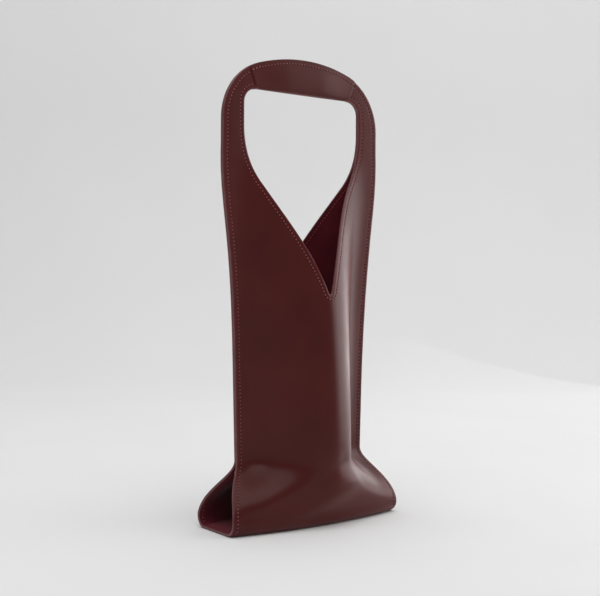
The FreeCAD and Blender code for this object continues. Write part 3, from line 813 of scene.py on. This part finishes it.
# %% [markdown]
# ## Painted edges
#
# The cut edges of leather and lining are painted together, which leaves a thin rounded bead. It follows
# a path, so Geometry Nodes sweep an ellipse along it. The path carries the leather's normal, which
# keeps the ellipse upright on the stack of layers.

# %% Node tree of the bead
def node_tree(name, sizes):
    """A tree with a geometry input, named sizes and a material; returns it with its inner ends."""
    tree = bpy.data.node_groups.new(name, "GeometryNodeTree")
    tree.interface.new_socket("Geometry", in_out="INPUT", socket_type="NodeSocketGeometry")
    for size in sizes:
        tree.interface.new_socket(size, in_out="INPUT", socket_type="NodeSocketFloat")
    tree.interface.new_socket("Material", in_out="INPUT", socket_type="NodeSocketMaterial")
    tree.interface.new_socket("Geometry", in_out="OUTPUT", socket_type="NodeSocketGeometry")
    return tree, tree.nodes.new("NodeGroupInput"), tree.nodes.new("NodeGroupOutput")


def add(tree, kind, options=None, **feeds):
    """A node of a kind with its options, its inputs fed by outputs or set to values."""
    node = tree.nodes.new(kind)
    for name, option in (options or {}).items():
        setattr(node, name, option)
    for name, feed in feeds.items():
        socket = node.inputs[name.replace("_", " ")]
        if isinstance(feed, bpy.types.NodeSocket):
            tree.links.new(feed, socket)
        else:
            socket.default_value = feed
    return node


def surface_normal(tree):
    """The leather's normal, which every path carries."""
    options = {"data_type": "FLOAT_VECTOR"}
    return add(tree, "GeometryNodeInputNamedAttribute", options, Name="leather_normal").outputs[0]


def finish_tree(tree, geometry, given, result):
    """End a tree with smooth, real faces of the given material."""
    smooth = add(tree, "GeometryNodeSetShadeSmooth", Geometry=geometry)
    real = add(tree, "GeometryNodeRealizeInstances", Geometry=smooth.outputs[0])
    dressed = add(tree, "GeometryNodeSetMaterial", Geometry=real.outputs[0],
                  Material=given.outputs["Material"])
    tree.links.new(dressed.outputs[0], result.inputs["Geometry"])


bead_tree, given, result = node_tree("edge_bead", ["Thick", "Proud"])
curve = add(bead_tree, "GeometryNodeMeshToCurve", Mesh=given.outputs["Geometry"])
upright_curve = add(bead_tree, "GeometryNodeSetCurveNormal", {"mode": "FREE"}, Curve=curve.outputs[0],
                    Normal=surface_normal(bead_tree))
oval_size = add(bead_tree, "ShaderNodeCombineXYZ", X=given.outputs["Thick"],
                Y=given.outputs["Proud"], Z=1.0)
circle = add(bead_tree, "GeometryNodeCurvePrimitiveCircle", Resolution=10, Radius=1.0)
oval = add(bead_tree, "GeometryNodeTransform", Geometry=circle.outputs[0], Scale=oval_size.outputs[0])
bead = add(bead_tree, "GeometryNodeCurveToMesh", Curve=upright_curve.outputs[0],
           Profile_Curve=oval.outputs[0], Fill_Caps=True)
finish_tree(bead_tree, bead.outputs[0], given, result)
print(bead_tree.name, "with", len(bead_tree.nodes), "nodes")

# %% Bead along the edges
EDGE_INSET = 0.15 * MM
BEAD_DEPTH = 1.35 * MM
BEAD = {"Thick": 1.12 * MM, "Proud": 0.42 * MM}


def path_object(name, paths):
    """A mesh of open polylines; each path is a pair of points and normals."""
    points = np.vstack([place for place, _ in paths])
    normals = np.vstack([normal for _, normal in paths])
    edges = []
    start = 0
    for place, _ in paths:
        edges += [(i, i + 1) for i in range(start, start + len(place) - 1)]
        start += len(place)
    mesh = bpy.data.meshes.new(name)
    mesh.from_pydata(points.tolist(), edges, [])
    carried = mesh.attributes.new("leather_normal", "FLOAT_VECTOR", "POINT")
    carried.data.foreach_set("vector", normals.ravel())
    piece = bpy.data.objects.new(name, mesh)
    bpy.context.scene.collection.objects.link(piece)
    return piece


def grow(piece, tree, material, **sizes):
    """Run a tree on a path object and leave a plain mesh in its place."""
    modifier = piece.modifiers.new(tree.name, "NODES")
    modifier.node_group = tree
    for item in tree.interface.items_tree:
        if item.in_out == "INPUT" and item.name in sizes:
            modifier[item.identifier] = sizes[item.name]
        if item.in_out == "INPUT" and item.name == "Material":
            modifier[item.identifier] = material
    shown = piece.evaluated_get(bpy.context.evaluated_depsgraph_get())
    mesh = bpy.data.meshes.new_from_object(shown)
    piece.modifiers.clear()
    piece.data = mesh
    mesh.name = piece.name
    print(piece.name, len(mesh.polygons), "faces")


def edge_path(ends, other_ends, side, face):
    """The middle of the painted edge, a little inside the cut."""
    inward = (other_ends - ends) / np.hypot(*(other_ends - ends).T)[:, None]
    flat = ends + inward * EDGE_INSET
    place, normal = strip_face(flat[:, 0] * side, flat[:, 1] / fold_radius, face)
    return place - normal * BEAD_DEPTH, normal


def joined(first, second):
    """Two paths that start at the same point, as one path."""
    return tuple(np.vstack([a[::-1], b[1:]]) for a, b in zip(first, second))


bead_paths = []
for face in (-1, 1):
    neck = [edge_path(inner_ends[tip_row:], outer_ends[tip_row:], side, face) for side in (-1, 1)]
    bead_paths.append(joined(*neck))
for side in (-1, 1):
    outer = [edge_path(outer_ends, inner_ends, side, face) for face in (-1, 1)]
    bead_paths.append(joined(*outer))
painted_edge = path_object("painted_edge", bead_paths)
grow(painted_edge, bead_tree, paint_finish.material, **BEAD)

# %% [markdown]
# ## Stitches
#
# A row of stitches repeats one short thread along a line that runs beside an edge. Geometry Nodes walk
# along the line in even steps, lay a thread at each one, turned to the line and to the leather, and set
# a small flat dark disc between two threads: painted shade where a needle hole sinks into the leather.
# The size of a stitch is a named input of the tree.

# %% Trees for threads and for the painted shade of the needle holes
def row_tree(name, shift):
    """Seed shapes along each line; shift moves them along it, in steps."""
    tree, given, result = node_tree(name, ["Step", "Length", "Width", "Height"])
    curve = add(tree, "GeometryNodeMeshToCurve", Mesh=given.outputs["Geometry"])
    steps = add(tree, "GeometryNodeResampleCurve", {"mode": "LENGTH"}, Curve=curve.outputs[0],
                Length=given.outputs["Step"])
    tangent = add(tree, "GeometryNodeInputTangent").outputs[0]
    far = add(tree, "ShaderNodeMath", {"operation": "MULTIPLY"}, Value=given.outputs["Step"])
    far.inputs[1].default_value = shift
    ahead = add(tree, "ShaderNodeVectorMath", {"operation": "SCALE"}, Vector=tangent, Scale=far.outputs[0])
    moved = add(tree, "GeometryNodeSetPosition", Geometry=steps.outputs[0], Offset=ahead.outputs[0])
    turn = add(tree, "FunctionNodeAxesToRotation", {"primary_axis": "X", "secondary_axis": "Z"},
               Primary_Axis=tangent, Secondary_Axis=surface_normal(tree))
    size = add(tree, "ShaderNodeCombineXYZ", X=given.outputs["Length"], Y=given.outputs["Width"],
               Z=given.outputs["Height"])
    seed = add(tree, "GeometryNodeMeshUVSphere", Segments=8, Rings=5, Radius=0.5)
    row = add(tree, "GeometryNodeInstanceOnPoints", Points=moved.outputs[0], Instance=seed.outputs[0],
              Rotation=turn.outputs[0], Scale=size.outputs[0])
    finish_tree(tree, row.outputs[0], given, result)
    print(tree.name, "with", len(tree.nodes), "nodes")
    return tree


thread_tree = row_tree("thread_row", 0.0)
# The discs between the threads are dark. This is painted shade for the needle holes.
hole_shade_tree = row_tree("painted_hole_shade_row", 0.5)

# %% Lines for the rows
LINE_STEP = 1.2 * MM
FOLD_START = 0.4 * fold_radius
GRIP_CLEARANCE = 2.2 * MM
INSIDE_CLEARANCE = 6 * MM


def offset_line(line, distance):
    """A line beside another on the pattern, to its right."""
    ahead = np.gradient(line, axis=0)
    ahead /= np.hypot(*ahead.T)[:, None]
    return line + np.stack([ahead[:, 1], -ahead[:, 0]], -1) * distance


def even(line):
    """The same line in even steps."""
    total = np.hypot(*np.diff(line, axis=0).T).sum()
    return walk(line, np.linspace(0, total, max(int(total / LINE_STEP), 2)))


def clear_of_grip(line):
    """The part of a handle line that the grip leaves open."""
    turn = np.arctan2(line[:, 0], line[:, 1] - crown_centre)
    return line[(line[:, 1] < hinge_height) | (turn > grip_turn + GRIP_CLEARANCE / crown_radius)]


outer_line = outer_ends[outer_ends[:, 1] >= FOLD_START]
outer_line = clear_of_grip(even(offset_line(outer_line, -STITCH_INSET)))
neck_line = clear_of_grip(even(offset_line(inner_ends[tip_row:], STITCH_INSET)))
# The neck row starts on the middle line, where its two halves meet.
neck_line[0, 0] = 0
inside_neck = neck_line[neck_line[:, 1] < flat_height - INSIDE_CLEARANCE]
inside_hem = outer_line[outer_line[:, 1] < opening_height - INSIDE_CLEARANCE]
print("outer row", len(outer_line), "points, neck row", len(neck_line), "points")

# %% Rows of stitches on the strip
STITCH = {"Step": 3.1 * MM, "Length": 2.1 * MM, "Width": 0.95 * MM, "Height": 0.7 * MM}
# The hole sizes below are for a flat dark disc, which is painted shade for a needle hole.
HOLE_SHADE = {"Step": 3.1 * MM, "Length": 1.2 * MM, "Width": 1.1 * MM, "Height": 0.14 * MM}
THREAD_LIFT = 0.05 * MM
HOLE_SHADE_LIFT = -0.06 * MM


def on_leather(line, side, face, lift):
    """A pattern line on the outer face."""
    place, normal = strip_face(line[:, 0] * side, line[:, 1] / fold_radius, face)
    return place + normal * lift, normal


def on_lining(line, side, face, lift):
    """A pattern line on the inner face of the lining."""
    place, normal = strip_face(line[:, 0] * side, line[:, 1] / fold_radius, face)
    return place - normal * (lining_depth + lining + lift), -normal


def strip_rows(lift):
    """Every row of the strip: round the neck and along the outer edges, outside and inside."""
    rows = []
    for face in (-1, 1):
        rows.append(joined(on_leather(neck_line, -1, face, lift), on_leather(neck_line, 1, face, lift)))
        rows.append(joined(on_lining(inside_neck, -1, face, lift), on_lining(inside_neck, 1, face, lift)))
        for side in (-1, 1):
            rows.append(on_leather(outer_line, side, face, lift))
            rows.append(on_lining(inside_hem, side, face, lift))
    return rows


strip_stitches = path_object("strip_stitches", strip_rows(THREAD_LIFT))
grow(strip_stitches, thread_tree, thread_finish.material, **STITCH)
# Dark discs between the stitches: painted shade for the needle holes.
strip_hole_shades = path_object("strip_hole_shades", strip_rows(HOLE_SHADE_LIFT))
grow(strip_hole_shades, hole_shade_tree, hole_shade_finish.material, **HOLE_SHADE)

# %% Rows of stitches on the grip
GRIP_MARGIN = 2.5 * MM
GRIP_TILT = 0.25
KNOT_LENGTH = 8 * MM
KNOT_SHIFT = 0.7 * MM
GRIP_THREAD_LIFT = 0.1 * MM
GRIP_HOLE_SHADE_LIFT = 0.02 * MM


def grip_row(inset, first, last, side, lift):
    """A line along the grip, a distance below its top edge."""
    turns = np.arange(first, last, LINE_STEP / crown_radius)
    places = []
    for turn in turns:
        half, top, low, high = grip_frame(turn)
        thick, radius = grip_side(np.array([1 - inset / (high - low)]), half, top, low, high)
        places.append((turn, side * (thick[0] + lift), radius[0]))
    turns, depths, radii = np.array(places).T
    normals = np.stack([GRIP_TILT * np.sin(turns), np.full(len(turns), side),
                        GRIP_TILT * np.cos(turns)], -1)
    return grip_place(turns, depths, radii), normals / np.linalg.norm(normals, axis=1, keepdims=True)


def grip_rows(lift):
    """One row on each side, sewn twice where it starts."""
    reach = grip_turn - GRIP_MARGIN / crown_radius
    knot = KNOT_LENGTH / crown_radius
    rows = [grip_row(STITCH_INSET, -reach, reach, side, lift) for side in (-1, 1)]
    for side in (-1, 1):
        rows.append(grip_row(STITCH_INSET - KNOT_SHIFT, -reach, knot - reach, side, lift))
    return rows


grip_stitches = path_object("grip_stitches", grip_rows(GRIP_THREAD_LIFT))
grow(grip_stitches, thread_tree, thread_finish.material, **STITCH)
# Dark discs between the stitches on the grip: painted shade for the needle holes.
grip_hole_shades = path_object("grip_hole_shades", grip_rows(GRIP_HOLE_SHADE_LIFT))
grow(grip_hole_shades, hole_shade_tree, hole_shade_finish.material, **HOLE_SHADE)

# %% [markdown]
# ## Floor and light
#
# The carrier stands on a pale floor that runs up into a pale wall behind it. A wide soft lamp hangs
# overhead, and a weaker one stands to the right. Two more panels at the right show only in the gloss:
# seen at a grazing angle, the smooth leather mirrors them, and that is the bright line down the far
# flank.

# %% Floor and wall behind
FLOOR_NEAR = -2.6
FLOOR_FAR = 1.0
FLOOR_HALF = 3.0
WALL_BEND = 0.6
WALL_TOP = 2.4
BEND_STEPS = 12
away = Vector((forward.x, forward.y, 0)).normalized()
profile = [(FLOOR_NEAR, 0.0), (FLOOR_FAR, 0.0)]
for i in range(1, BEND_STEPS + 1):
    bend = quarter * i / BEND_STEPS
    profile.append((FLOOR_FAR + WALL_BEND * math.sin(bend), WALL_BEND * (1 - math.cos(bend))))
profile.append((FLOOR_FAR + WALL_BEND, WALL_TOP))
points = []
for reach, height in profile:
    for aside in (-FLOOR_HALF, FLOOR_HALF):
        spot = away * reach + level * aside
        points.append((spot.x, spot.y, height))
faces = [(2 * i, 2 * i + 1, 2 * i + 3, 2 * i + 2) for i in range(len(profile) - 1)]
mesh = bpy.data.meshes.new("studio_floor")
mesh.from_pydata(points, [], faces)
mesh.polygons.foreach_set("use_smooth", [True] * len(mesh.polygons))
studio_floor = bpy.data.objects.new("studio_floor", mesh)
bpy.context.scene.collection.objects.link(studio_floor)
floor_finish = plain_finish("studio_paper", "f4f4f4", "f6f6f6", 4, 0.9, 60, 0.02)
mesh.materials.append(floor_finish.material)
print("floor", len(mesh.polygons), "faces")

# %% Lamps
WORLD_GREY = 0.26


def soft_lamp(name, place, target, size, power, gloss_only=False):
    """A flat lamp turned to a target, its power in watts; one for the gloss lights nothing else."""
    data = bpy.data.lights.new(name, "AREA")
    data.shape = "RECTANGLE"
    data.size, data.size_y = size
    data.energy = power
    lamp = bpy.data.objects.new(name, data)
    lamp.visible_camera = False
    lamp.visible_diffuse = not gloss_only
    bpy.context.scene.collection.objects.link(lamp)
    aim = Vector(target) - Vector(place)
    lamp.matrix_world = Matrix.Translation(place) @ aim.to_track_quat("-Z", "Y").to_matrix().to_4x4()


soft_lamp("top_lamp", (-0.3, -0.4, 2.4), (0, 0, 0), (3.0, 3.0), 43)
soft_lamp("side_lamp", (2.0, -1.2, 1.3), (0, 0, 0.2), (1.8, 1.8), 10)
soft_lamp("card_lamp", (1.15, -0.5, 0.5), (0, 0, 0.5), (0.9, 1.1), 8, gloss_only=True)
soft_lamp("rim_lamp", (1.15, 0.45, 0.5), (0, 0, 0.5), (1.0, 1.1), 5, gloss_only=True)
world = bpy.data.worlds.new("studio")
world.use_nodes = True
background = world.node_tree.nodes["Background"]
background.inputs["Color"].default_value = (WORLD_GREY, WORLD_GREY, WORLD_GREY, 1)
bpy.context.scene.world = world
bpy.context.scene.view_settings.view_transform = "Standard"

# %% [markdown]
# ## What moves, and which plain solids are hidden
#
# The strip crosses the line where the handle bends; its pieces keep their places in the scene. The grip
# rides on the handle. The plain solids that the new pieces stand for are hidden.

# %% Bodies and hidden solids
bending = (leather_strip, lining_strip, painted_edge, strip_stitches, strip_hole_shades)
for piece in bending:
    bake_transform(piece)
for piece in (grip_cover, grip_stitches, grip_hole_shades):
    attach(piece, "handle")

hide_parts("front_panel", "back_panel", "base_panel", "front_loop", "back_loop")
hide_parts("front_lining", "back_lining", "base_lining", "front_loop_lining",
            "back_loop_lining")
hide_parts("right_seam_thread", "right_base_hem_thread", "left_seam_thread",
            "left_base_hem_thread", "front_neck_thread", "back_neck_thread", "loop_outer_thread",
            "loop_inner_thread")
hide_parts("grip_wrap", "grip_padding_front", "grip_padding_back")
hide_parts("grip_thread")
print("bending with the handle:", [piece.name for piece in bending])
